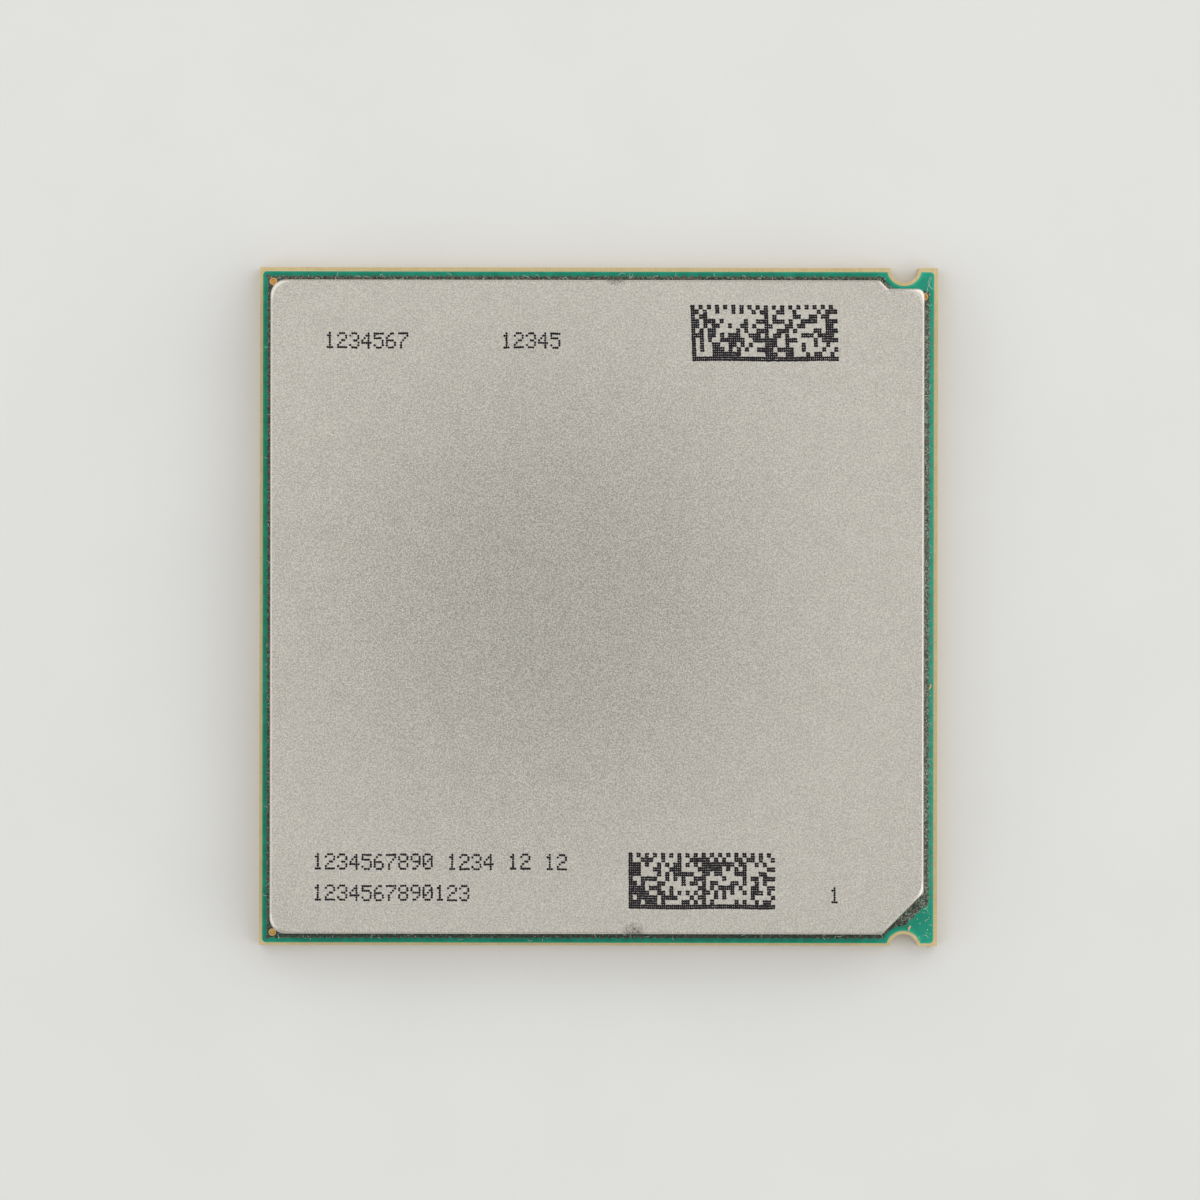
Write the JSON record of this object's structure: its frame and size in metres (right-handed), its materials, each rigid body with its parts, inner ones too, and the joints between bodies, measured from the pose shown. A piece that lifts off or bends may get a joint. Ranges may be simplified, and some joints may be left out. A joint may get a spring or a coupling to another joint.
{
  "type": "computer processor",
  "caption": "Square land-grid-array processor package: laminate with key notches, solder mask, gold lands below and a nickel-plated lid over a flip-chip die.",
  "frame": {"origin": "centre of the laminate's outline, on the plane of the land faces that it rests on", "axes": "+Z from the lands to the lid, +X towards the edge beside the key notches, +Y towards the edge with the lid's recess"},
  "size_m": [0.05, 0.05, 0.0046],
  "materials": {
    "laminate": "bare glass-epoxy laminate, cut edges",
    "copper": "copper foil under the mask",
    "solder_mask": "green solder mask, semi-gloss, darker over copper",
    "gold_plating": "gold over nickel, satin",
    "silicon": "ground silicon",
    "underfill_resin": "cured epoxy underfill",
    "thermal_compound": "grey thermal interface layer",
    "sealant": "dark silicone-type sealant",
    "nickel_plating": "matte nickel plating on stamped copper",
    "capacitor_ceramic": "brown ceramic",
    "tin_plating": "tin-plated terminals",
    "solder": "reflowed solder",
    "marking_ink": "near-black ink-jet dots on the lid",
    "dust": "lint and dust specks on the mask"
  },
  "bodies": {
    "root": {"laminate": "laminate", "copper_plane": "copper", "top_solder_mask": "solder_mask", "bottom_solder_mask": "solder_mask", "contact_lands": "gold_plating", "corner_lands": "gold_plating", "silicon_die": "silicon", "underfill": "underfill_resin", "thermal_interface": "thermal_compound", "lid_sealant": "sealant", "lid": "nickel_plating", "fiducial_mark_1": "gold_plating", "fiducial_mark_2": "gold_plating", "fiducial_mark_3": "gold_plating", "capacitor_body_1": "capacitor_ceramic", "capacitor_body_2": "capacitor_ceramic", "capacitor_body_3": "capacitor_ceramic", "capacitor_body_4": "capacitor_ceramic", "capacitor_body_5": "capacitor_ceramic", "capacitor_body_6": "capacitor_ceramic", "capacitor_body_7": "capacitor_ceramic", "capacitor_body_8": "capacitor_ceramic", "capacitor_body_9": "capacitor_ceramic", "capacitor_body_10": "capacitor_ceramic", "capacitor_body_11": "capacitor_ceramic", "capacitor_body_12": "capacitor_ceramic", "capacitor_terminals_1": "tin_plating", "capacitor_terminals_2": "tin_plating", "capacitor_terminals_3": "tin_plating", "capacitor_terminals_4": "tin_plating", "capacitor_terminals_5": "tin_plating", "capacitor_terminals_6": "tin_plating", "capacitor_terminals_7": "tin_plating", "capacitor_terminals_8": "tin_plating", "capacitor_terminals_9": "tin_plating", "capacitor_terminals_10": "tin_plating", "capacitor_terminals_11": "tin_plating", "capacitor_terminals_12": "tin_plating", "capacitor_solder_1": "solder", "capacitor_solder_2": "solder", "capacitor_solder_3": "solder", "capacitor_solder_4": "solder", "capacitor_solder_5": "solder", "capacitor_solder_6": "solder", "capacitor_solder_7": "solder", "capacitor_solder_8": "solder", "capacitor_solder_9": "solder", "capacitor_solder_10": "solder", "capacitor_solder_11": "solder", "capacitor_solder_12": "solder"}
  },
  "joints": []
}
